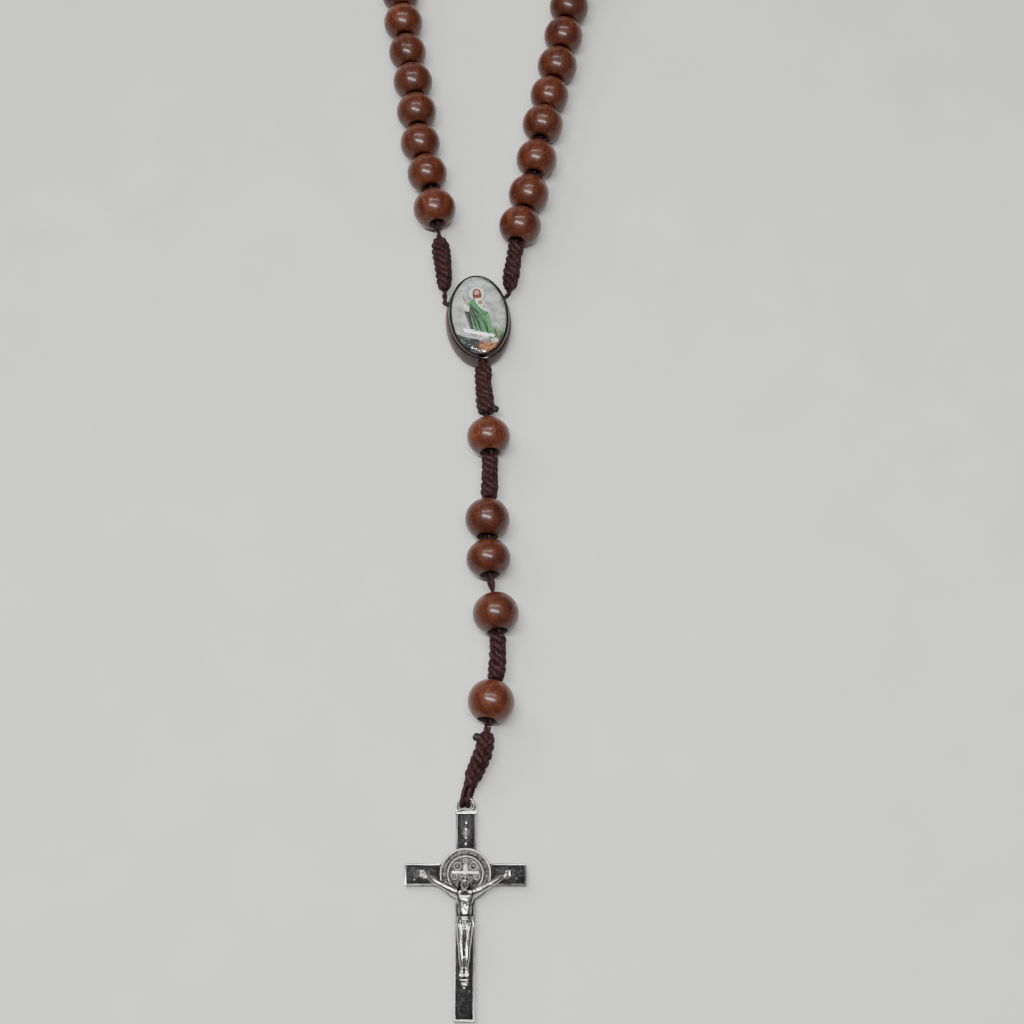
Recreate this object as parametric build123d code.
"""A five-decade rosary of wooden beads strung on waxed cord, laid flat on a table.

Frame: the origin is the centre of the flat back of the oval centre medal, on the table.
+Z is up from the table, +Y runs from the medal towards the loop of beads, and the pendant
with the crucifix lies towards -Y. Sizes are in millimetres.

The loop holds five decades of ten beads, with one single bead between decades and a wrapped
knot on each side of every decade. The pendant holds five beads, four wrapped knots and the
crucifix. The cord is one limp line in five lengths that bend at ball ends: at the medal's
three holes, at the loop's fold, in the bare stretch of the pendant and under its last bead.
"""

import os
from math import pi, radians, sqrt, tan

from build123d import *

# ---------------------------------------------------------------- driving dimensions
# Beads: turned wood, barrel-shaped, drilled along the cord and countersunk at both ends.
BEAD_RADIUS = 4.0
LOOP_BEAD_LENGTH = 7.1
PENDANT_BEAD_LENGTHS = (6.5, 6.8, 6.1, 6.6, 6.6)
BEAD_BORE_RADIUS = 1.15
BEAD_MOUTH_RADIUS = 1.5
LOOP_BEAD_END_RADIUS = sqrt(BEAD_RADIUS**2 - (LOOP_BEAD_LENGTH / 2) ** 2)
PENDANT_BEAD_END_RADIUS = 1.85
BEADS_PER_DECADE = 10

# Cord: one kind of limp line, laid double in the pendant and below it.
LOOP_CORD_RADIUS = 0.55
PENDANT_CORD_RADIUS = 0.7
BIGHT_CORD_RADIUS = 0.45
RUN_SHARE = 0.45  # the part of the shorter run that a bend's arc takes up
BALL_SWELL = 1.04  # a cord's ball end is this much thicker than the cord
BEND_ROOM = 1.5  # a cord stops this many radii from the ball end that it turns on

# Knots: cord wound round itself, as round-ended sausages.
LOOP_KNOT_LENGTH = 10.5
LEFT_KNOT_LENGTH = 12.0  # the one beside the medal's left hole
LOOP_KNOT_RADIUS = 1.6

# Medal: oval plastic body with a picture card under a clear dome.
MEDAL_LEAN = 6.0  # degrees, its top towards -X
MEDAL_HALF_WIDTH = 6.4
MEDAL_HALF_LENGTH = 9.6
MEDAL_HOLE_DEPTH = 3.4
MEDAL_HOLE_CLEARANCE = 0.2
RECESS_HALF_WIDTH = 5.3
RECESS_HALF_LENGTH = 8.55
RECESS_FLOOR = 4.5
CARD_THICKNESS = 0.25
DOME_EDGE_HEIGHT = 5.5
DOME_CROWN_HEIGHT = 6.6
FIT_GAP = 0.05

# Crucifix: die-cast cross with enamel in its arms, a round medallion and a separate figure.
CROSS_CENTRE = (-1.55, -107.5)
CROSS_TOP = 10.7
CROSS_BOTTOM = -23.8
CROSS_HALF_SPAN = 10.25
CROSS_UPRIGHT_WIDTH = 3.4
CROSS_ARM_WIDTH = 3.6
CROSS_THICKNESS = 1.7
CROSS_RIM = 0.3
ENAMEL_DEPTH = 0.4
ENAMEL_THICKNESS = 0.25
MEDALLION_RADIUS = 4.4
MEDALLION_THICKNESS = 0.5
RING_OUTER_RADIUS = 1.65
RING_HOLE_RADIUS = 0.95
RING_LOW, RING_HIGH = 1.0, 1.7

# ---------------------------------------------------------------- where the cord lies
# The loop, from the medal's left hole round to its right hole.
LOOP_POINTS = [
    (-6.9, 3.7, 3.0), (-7.0, 9.0, 3.4), (-7.9, 16.0, 3.8), (-9.2, 24.9, 4.0),
    (-11.0, 34.0, 4.0), (-12.7, 41.5, 4.0), (-13.5, 49.3, 4.0), (-14.4, 57.0, 4.0),
    (-15.8, 64.5, 4.0), (-16.9, 72.4, 4.0), (-17.7, 80.3, 4.0), (-19.2, 92.0, 4.0),
    (-22.6, 108.0, 4.0), (-28.4, 126.0, 4.0), (-36.5, 145.0, 4.0), (-44.0, 165.0, 4.0),
    (-48.0, 187.5, 4.0), (-46.5, 210.0, 4.0), (-37.5, 229.0, 4.0), (-21.5, 242.0, 4.0),
    (-2.0, 246.5, 4.0), (17.5, 243.5, 4.0), (34.0, 233.5, 4.0), (45.5, 217.0, 4.0),
    (50.0, 196.5, 4.0), (49.0, 174.5, 4.0), (43.5, 153.0, 4.0), (36.0, 135.0, 4.0),
    (28.8, 118.0, 4.0), (23.5, 101.0, 4.0), (20.6, 88.0, 4.0), (18.5, 76.9, 4.0),
    (17.2, 69.0, 4.0), (15.9, 61.2, 4.0), (14.1, 53.6, 4.0), (12.6, 46.0, 4.0),
    (11.4, 37.4, 4.0), (9.8, 29.0, 4.0), (7.9, 21.2, 4.0), (6.4, 12.5, 3.5),
    (5.6, 5.7, 3.0),
]
# The pendant, from the medal's bottom hole to the crucifix.
UPPER_POINTS = [
    (0.8, -10.3, 3.0), (0.7, -13.0, 3.2), (1.0, -17.0, 3.7), (1.5, -21.5, 4.0),
    (1.9, -26.0, 4.0), (2.15, -30.5, 4.0), (2.2, -35.0, 4.0), (2.0, -39.0, 4.0),
    (1.75, -43.0, 4.0), (1.8, -47.0, 4.0), (2.0, -51.0, 4.0), (2.3, -54.0, 4.0),
    (2.65, -56.4, 4.0),
]
MIDDLE_POINTS = [
    (2.65, -56.4, 4.0), (3.0, -58.6, 4.0), (3.4, -61.4, 4.0), (3.75, -65.5, 4.0),
    (3.8, -70.0, 4.0), (3.35, -74.5, 4.0), (2.6, -78.0, 4.0), (2.2, -80.4, 4.0),
    (2.1, -82.3, 4.0),
]
KNOT_FOUR_POINTS = [(1.7, -85.1, 3.6), (1.5, -86.6, 3.45), (0.3, -89.2, 3.05), (-0.6, -91.4, 2.6)]
BIGHT_POINTS = [
    (2.1, -82.3, 4.0), (1.9, -83.6, 3.85), (1.6, -85.6, 3.6), (0.6, -88.4, 3.3),
    (-0.5, -90.8, 3.05), (-1.3, -92.8, 2.75), (-1.75, -94.2, 2.5), (-1.85, -95.5, 2.2),
    (-1.8, -95.85, 1.25), (-1.65, -95.3, 0.5), (-1.4, -94.2, 0.52), (-1.0, -93.0, 1.1),
    (-0.7, -92.0, 1.75),
]

# Bare cord between neighbours, from the knot beside the medal outwards.
LEFT_LEAD, RIGHT_LEAD = 2.7, 1.1
LEFT_GAPS = (3.3, 1.7, 0.6, 0.85, 0.75, 0.8, 0.85, 0.8, 0.7, 0.6, 0.3)
RIGHT_GAPS = (0.3, 0.8, 1.6, 1.7, 0.6, 0.7, 1.0, 0.8, 0.6, 0.5, 0.3)
FAR_GAPS = (0.3, 0.7, 0.5, 0.9, 0.6, 1.1, 0.5, 0.8, 0.6, 0.7, 0.4)
FOLD_GAP = 3.4
SINGLE_BEAD_GAP = 0.6


# ---------------------------------------------------------------- cords
def cord_path(points):
    """Straight runs joined by tangent arcs, each as large as its two runs allow."""
    radii = []
    for before, corner, after in zip(points, points[1:], points[2:]):
        arriving = Vector(*corner) - Vector(*before)
        leaving = Vector(*after) - Vector(*corner)
        half_turn = radians(arriving.get_angle(leaving)) / 2
        radii.append(RUN_SHARE * min(arriving.length, leaving.length) / tan(half_turn))
    return FilletPolyline(*points, radius=radii), radii


def tube(path, radius):
    start = Plane(origin=path @ 0, z_dir=path % 0)
    return sweep(start * Circle(radius), path=path)


def ball(centre, radius):
    return Pos(*centre) * Sphere(radius)


def jointed_cord(points, radius, ball_at_start, room_at_end):
    """A length of cord that ends in a ball, or stops short of its neighbour's ball."""
    path, _ = cord_path(points)
    cord = tube(path, radius)
    if ball_at_start:
        cord += ball(points[0], BALL_SWELL * radius)
    else:
        cord -= ball(points[0], BEND_ROOM * radius)
    if room_at_end:
        cord -= ball(points[-1], BEND_ROOM * radius)
    else:
        cord += ball(points[-1], BALL_SWELL * radius)
    return cord


def frame_on(path, distance):
    """The location whose Z axis is the cord's direction at a distance along it."""
    origin = path.position_at(distance, position_mode=PositionMode.LENGTH)
    along = path.tangent_at(distance, position_mode=PositionMode.LENGTH)
    return Location(Plane(origin=origin, z_dir=along))


# ---------------------------------------------------------------- beads and knots
def bead(length, end_radius):
    """A barrel bead about its bore, which is local Z. A loop bead is a cut-off sphere."""
    half = length / 2
    mouth_depth = BEAD_MOUTH_RADIUS - BEAD_BORE_RADIUS
    bore_end = half - mouth_depth
    profile = make_face(
        [
            Line((BEAD_BORE_RADIUS, -bore_end), (BEAD_MOUTH_RADIUS, -half)),
            Line((BEAD_MOUTH_RADIUS, -half), (end_radius, -half)),
            ThreePointArc((end_radius, -half), (BEAD_RADIUS, 0), (end_radius, half)),
            Line((end_radius, half), (BEAD_MOUTH_RADIUS, half)),
            Line((BEAD_MOUTH_RADIUS, half), (BEAD_BORE_RADIUS, bore_end)),
            Line((BEAD_BORE_RADIUS, bore_end), (BEAD_BORE_RADIUS, -bore_end)),
        ]
    )
    return revolve(Plane.XZ * profile, Axis.Z)


def straight_knot(path, start, end, radius, cord):
    """A round-ended knot on a stretch of cord, with the cord's own bore through it."""
    first = path.position_at(start + radius, position_mode=PositionMode.LENGTH)
    last = path.position_at(end - radius, position_mode=PositionMode.LENGTH)
    spine = Line(first, last)
    return tube(spine, radius) + ball(first, radius) + ball(last, radius) - cord


def bent_knot(points, radius, cord):
    spine, _ = cord_path(points)
    return tube(spine, radius) + ball(points[0], radius) + ball(points[-1], radius) - cord


# ---------------------------------------------------------------- the loop
def loop_layout(length):
    """Distances along the loop's cord: each bead's centre, and each knot's start and end."""
    beads, knots, folds = {}, {}, []
    half_bead = LOOP_BEAD_LENGTH / 2

    def lay_decade(name, start, gaps, direction):
        place = start
        for number in range(1, BEADS_PER_DECADE + 1):
            place += direction * (gaps[number - 1] + half_bead)
            beads[f"{name}_{number:02d}"] = place
            place += direction * half_bead
        return place + direction * gaps[BEADS_PER_DECADE]

    def lay_knot(name, start, length=LOOP_KNOT_LENGTH):
        knots[name] = (start, start + length)
        return start + length

    place = lay_knot("knot_left", LEFT_LEAD, LEFT_KNOT_LENGTH)
    place = lay_decade("bead_left", place, LEFT_GAPS, 1)
    place = lay_knot("knot_after_decade_five", place)
    folds.append(place + FOLD_GAP / 2)
    place += FOLD_GAP
    for number, decade in ((4, "four"), (3, "three"), (2, "two")):
        beads[f"our_father_bead_{number}"] = place + half_bead
        place += LOOP_BEAD_LENGTH + SINGLE_BEAD_GAP
        place = lay_knot(f"knot_before_decade_{decade}", place)
        place = lay_decade(f"far_{decade}", place, FAR_GAPS, 1)
        place = lay_knot(f"knot_after_decade_{decade}", place) + SINGLE_BEAD_GAP

    near = length - RIGHT_LEAD - LOOP_KNOT_LENGTH
    lay_knot("knot_right", near)
    near = lay_decade("bead_right", near, RIGHT_GAPS, -1) - LOOP_KNOT_LENGTH
    lay_knot("knot_after_decade_one", near)
    folds.append(near - FOLD_GAP / 2)
    beads["our_father_bead_1"] = near - FOLD_GAP - half_bead
    spare = near - FOLD_GAP - LOOP_BEAD_LENGTH - place
    return beads, knots, folds, spare


loop_path, loop_radii = cord_path(LOOP_POINTS)
loop_length = loop_path.length
bead_places, knot_places, fold_places, spare_cord = loop_layout(loop_length)
whole_loop_cord = tube(loop_path, LOOP_CORD_RADIUS)

# The loop folds on a line through both strands, between a knot and a single bead on each side.
left_fold = loop_path.position_at(fold_places[0], position_mode=PositionMode.LENGTH)
right_fold = loop_path.position_at(fold_places[1], position_mode=PositionMode.LENGTH)
FAR_BLOCK = 400.0
fold_plane = Plane(origin=left_fold, x_dir=right_fold - left_fold, z_dir=(0, 0, 1))
far_side = fold_plane * Pos(0, FAR_BLOCK / 2, 0) * Box(FAR_BLOCK, FAR_BLOCK, FAR_BLOCK)

loop_cord_near = whole_loop_cord - far_side
loop_cord_far = whole_loop_cord & far_side
for fold_point in (left_fold, right_fold):
    loop_cord_near += ball(fold_point, BALL_SWELL * LOOP_CORD_RADIUS)
    loop_cord_far -= ball(fold_point, BEND_ROOM * LOOP_CORD_RADIUS)
for medal_end in (LOOP_POINTS[0], LOOP_POINTS[-1]):
    loop_cord_near += ball(medal_end, BALL_SWELL * LOOP_CORD_RADIUS)

parts = {"loop_cord_near": loop_cord_near, "loop_cord_far": loop_cord_far}
loop_bead = bead(LOOP_BEAD_LENGTH, LOOP_BEAD_END_RADIUS)
for name, place in bead_places.items():
    if not name.startswith("far_"):
        parts[name] = frame_on(loop_path, place) * loop_bead
for decade in ("four", "three", "two"):
    placed = [
        frame_on(loop_path, bead_places[f"far_{decade}_{number:02d}"]) * loop_bead
        for number in range(1, BEADS_PER_DECADE + 1)
    ]
    parts[f"beads_decade_{decade}"] = Compound(children=placed)
for name, (start, end) in knot_places.items():
    parts[name] = straight_knot(loop_path, start, end, LOOP_KNOT_RADIUS, whole_loop_cord)

# ---------------------------------------------------------------- the pendant
upper_path, upper_radii = cord_path(UPPER_POINTS)
middle_path, middle_radii = cord_path(MIDDLE_POINTS)
bight_path, bight_radii = cord_path(BIGHT_POINTS)
upper_cord = jointed_cord(UPPER_POINTS, PENDANT_CORD_RADIUS, True, False)
middle_cord = jointed_cord(MIDDLE_POINTS, PENDANT_CORD_RADIUS, False, False)
bight_cord = tube(bight_path, BIGHT_CORD_RADIUS)
bight_cord -= ball(BIGHT_POINTS[0], BEND_ROOM * PENDANT_CORD_RADIUS)
parts["pendant_cord_upper"] = upper_cord
parts["pendant_cord_middle"] = middle_cord
parts["crucifix_cord"] = bight_cord

# Each bead's path and distance along it; each knot's path, start, end, radius and cord.
PENDANT_BEADS = (
    (upper_path, 15.9), (upper_path, 32.9), (upper_path, 40.75), (middle_path, 5.2),
    (middle_path, 21.7),
)
PENDANT_KNOTS = (
    ("pendant_knot_one", upper_path, 0.6, 11.3, 1.7, upper_cord),
    ("pendant_knot_two", upper_path, 19.7, 28.9, 1.6, upper_cord),
    ("pendant_knot_three", middle_path, 8.8, 18.0, 1.55, middle_cord),
)
KNOT_FOUR_RADIUS = 1.6
for number, (path, place) in enumerate(PENDANT_BEADS):
    shape = bead(PENDANT_BEAD_LENGTHS[number], PENDANT_BEAD_END_RADIUS)
    parts[f"pendant_bead_{number + 1}"] = frame_on(path, place) * shape
for name, path, start, end, radius, cord in PENDANT_KNOTS:
    parts[name] = straight_knot(path, start, end, radius, cord)
parts["pendant_knot_four"] = bent_knot(KNOT_FOUR_POINTS, KNOT_FOUR_RADIUS, bight_cord)


# ---------------------------------------------------------------- the medal
def medal_oval(half_width, half_length, height):
    turned = Rot(0, 0, MEDAL_LEAN) * Ellipse(half_width, half_length)
    return Pos(0, 0, height) * turned


def inward(point):
    """The level direction from one of the medal's holes towards its middle."""
    return (Vector(0, 0, point[2]) - Vector(*point)).normalized()


def bored_rod(point, radius, start, length):
    """A rod along one of the medal's holes, starting a distance in from the pivot point."""
    direction = inward(point)
    base = Plane(origin=Vector(*point) + direction * start, z_dir=direction)
    return extrude(base * Circle(radius), length)


MEDAL_HOLES = (
    (LOOP_POINTS[0], LOOP_CORD_RADIUS),
    (LOOP_POINTS[-1], LOOP_CORD_RADIUS),
    (UPPER_POINTS[0], PENDANT_CORD_RADIUS),
)
# Outline of the body from its back up: height, and how far it stands in from its widest.
MEDAL_OUTLINE = ((0.0, 0.9), (0.7, 0.2), (1.8, 0.0), (3.6, 0.25), (4.3, 0.7), (5.2, 0.75))
medal_body = loft(
    [medal_oval(MEDAL_HALF_WIDTH - inset, MEDAL_HALF_LENGTH - inset, height)
     for height, inset in MEDAL_OUTLINE],
    ruled=True,
)
recess = extrude(medal_oval(RECESS_HALF_WIDTH, RECESS_HALF_LENGTH, RECESS_FLOOR), DOME_CROWN_HEIGHT)
medal_body -= recess
cord_ends = []
for point, radius in MEDAL_HOLES:
    medal_body -= bored_rod(point, radius + MEDAL_HOLE_CLEARANCE, 0, MEDAL_HOLE_DEPTH)
    cord_ends.append(bored_rod(point, radius, radius + FIT_GAP, MEDAL_HOLE_DEPTH - radius - FIT_GAP))
parts["medal_body"] = medal_body
parts["medal_cord_ends"] = Compound(children=cord_ends)
parts["medal_picture"] = extrude(
    medal_oval(RECESS_HALF_WIDTH - FIT_GAP, RECESS_HALF_LENGTH - FIT_GAP, RECESS_FLOOR),
    CARD_THICKNESS,
)
# The dome from its foot up: height, and how far it stands in from the recess wall.
DOME_FOOT = RECESS_FLOOR + CARD_THICKNESS
DOME_OUTLINE = (
    (DOME_FOOT, FIT_GAP), (DOME_EDGE_HEIGHT, FIT_GAP), (5.95, 0.5), (6.3, 1.4),
    (6.5, 2.6), (DOME_CROWN_HEIGHT, 4.2),
)
parts["medal_dome"] = loft(
    [medal_oval(RECESS_HALF_WIDTH - inset, RECESS_HALF_LENGTH - inset, height)
     for height, inset in DOME_OUTLINE],
    ruled=True,
)


# ---------------------------------------------------------------- the crucifix
def bar(x_low, x_high, y_low, y_high, z_low, z_high):
    """A block given by its faces, in the crucifix's own frame."""
    size = (x_high - x_low, y_high - y_low, z_high - z_low)
    middle = ((x_low + x_high) / 2, (y_low + y_high) / 2, (z_low + z_high) / 2)
    return Pos(*middle) * Box(*size)


def disc(radius, z_low, z_high):
    return Pos(0, 0, z_low) * extrude(Circle(radius), z_high - z_low)


half_upright = CROSS_UPRIGHT_WIDTH / 2
half_arm = CROSS_ARM_WIDTH / 2
pocket_floor = CROSS_THICKNESS - ENAMEL_DEPTH
seat_radius = MEDALLION_RADIUS + FIT_GAP

cross = bar(-half_upright, half_upright, CROSS_BOTTOM, CROSS_TOP, 0, CROSS_THICKNESS)
cross += bar(-CROSS_HALF_SPAN, CROSS_HALF_SPAN, -half_arm, half_arm, 0, CROSS_THICKNESS)
cross += disc(MEDALLION_RADIUS, 0, CROSS_THICKNESS)

ring_place = Pos(0, CROSS_TOP + RING_HOLE_RADIUS, RING_LOW)
cross += ring_place * extrude(Circle(RING_OUTER_RADIUS), RING_HIGH - RING_LOW)
cross -= ring_place * extrude(Circle(RING_HOLE_RADIUS), RING_HIGH - RING_LOW)

pockets = [
    (-half_upright + CROSS_RIM, half_upright - CROSS_RIM, seat_radius, CROSS_TOP - CROSS_RIM),
    (-half_upright + CROSS_RIM, half_upright - CROSS_RIM, CROSS_BOTTOM + CROSS_RIM, -seat_radius),
    (-CROSS_HALF_SPAN + CROSS_RIM, -seat_radius, -half_arm + CROSS_RIM, half_arm - CROSS_RIM),
    (seat_radius, CROSS_HALF_SPAN - CROSS_RIM, -half_arm + CROSS_RIM, half_arm - CROSS_RIM),
]
enamel = []
for x_low, x_high, y_low, y_high in pockets:
    cross -= bar(x_low, x_high, y_low, y_high, pocket_floor, CROSS_THICKNESS)
    enamel.append(
        bar(x_low, x_high, y_low, y_high, pocket_floor, pocket_floor + ENAMEL_THICKNESS)
    )

figure_back = CROSS_THICKNESS + MEDALLION_THICKNESS
medallion = disc(MEDALLION_RADIUS, CROSS_THICKNESS, figure_back)


def limb(start, end, radius):
    """A round limb with ball ends."""
    spine = Line(start, end)
    return tube(spine, radius) + ball(start, radius) + ball(end, radius)


# The figure: joints of the body and radii of its limbs, in the crucifix's own frame.
HEAD, HEAD_RADIUS = (0.2, -1.95, 3.35), 0.95
NECK = (0.1, -2.7, 3.1)
HIPS = (0.0, -8.5, 2.85)
KNEES = (0.0, -12.7, 3.1)
ANKLES = (0.0, -15.3, 2.7)
TOES = (0.0, -17.1, 2.4)
TRUNK_RADIUS, THIGH_RADIUS, SHIN_RADIUS, FOOT_RADIUS = 1.0, 0.9, 0.65, 0.5
SHOULDER_SPREAD, SHOULDER_HEIGHT, SHOULDER_RADIUS = 1.2, -3.3, 0.75
BREASTBONE_HEIGHT = -3.9
HAND_SPREAD, HAND_HEIGHT, HAND_LIFT = 7.2, -0.3, 0.15
ARM_RADIUS, HAND_PAD = 0.45, 0.4
FIGURE_DEPTH = 2.9
# The foot rest stands on the upright's rims and carries the feet.
REST_LOW, REST_HIGH, REST_TOP, REST_MARGIN = -18.3, -16.9, 2.2, 0.1

figure = ball(HEAD, HEAD_RADIUS) + limb(NECK, HIPS, TRUNK_RADIUS)
figure += limb(HIPS, KNEES, THIGH_RADIUS)
figure += limb(KNEES, ANKLES, SHIN_RADIUS)
figure += limb(ANKLES, TOES, FOOT_RADIUS)
for side in (-1, 1):
    breastbone = (0.0, BREASTBONE_HEIGHT, FIGURE_DEPTH)
    shoulder = (side * SHOULDER_SPREAD, SHOULDER_HEIGHT, FIGURE_DEPTH)
    hand = (side * HAND_SPREAD, HAND_HEIGHT, figure_back + HAND_LIFT)
    figure += limb(breastbone, shoulder, SHOULDER_RADIUS)
    figure += limb(shoulder, hand, ARM_RADIUS)
    figure += bar(
        hand[0] - HAND_PAD, hand[0] + HAND_PAD, HAND_HEIGHT - HAND_PAD, HAND_HEIGHT + HAND_PAD,
        pocket_floor + ENAMEL_THICKNESS + FIT_GAP, figure_back,
    )
figure += bar(
    REST_MARGIN - half_upright, half_upright - REST_MARGIN, REST_LOW, REST_HIGH,
    CROSS_THICKNESS, REST_TOP,
)
# Nothing of the figure goes into the medallion or the cross's upright.
figure -= disc(seat_radius, 0, figure_back)
figure -= bar(-half_upright, half_upright, CROSS_BOTTOM, -MEDALLION_RADIUS, 0, CROSS_THICKNESS)

on_table = Pos(CROSS_CENTRE[0], CROSS_CENTRE[1], 0)
parts["crucifix_frame"] = on_table * cross
parts["crucifix_enamel"] = Compound(children=[on_table * piece for piece in enamel])
parts["crucifix_medallion"] = on_table * medallion
parts["crucifix_figure"] = on_table * figure

# ---------------------------------------------------------------- write every piece
os.makedirs("parts", exist_ok=True)
for name, shape in parts.items():
    export_step(shape, f"parts/{name}.step")

print(f"{len(parts)} nodes, spare cord {spare_cord:.2f} mm, loop cord {loop_length:.1f} mm")
expected = pi * LOOP_CORD_RADIUS**2 * loop_length
print(f"loop cord volume {whole_loop_cord.volume:.1f}, expected {expected:.1f} mm3")
print("tightest bends, mm:", [round(min(r), 2) for r in
                              (loop_radii, upper_radii, middle_radii, bight_radii)])
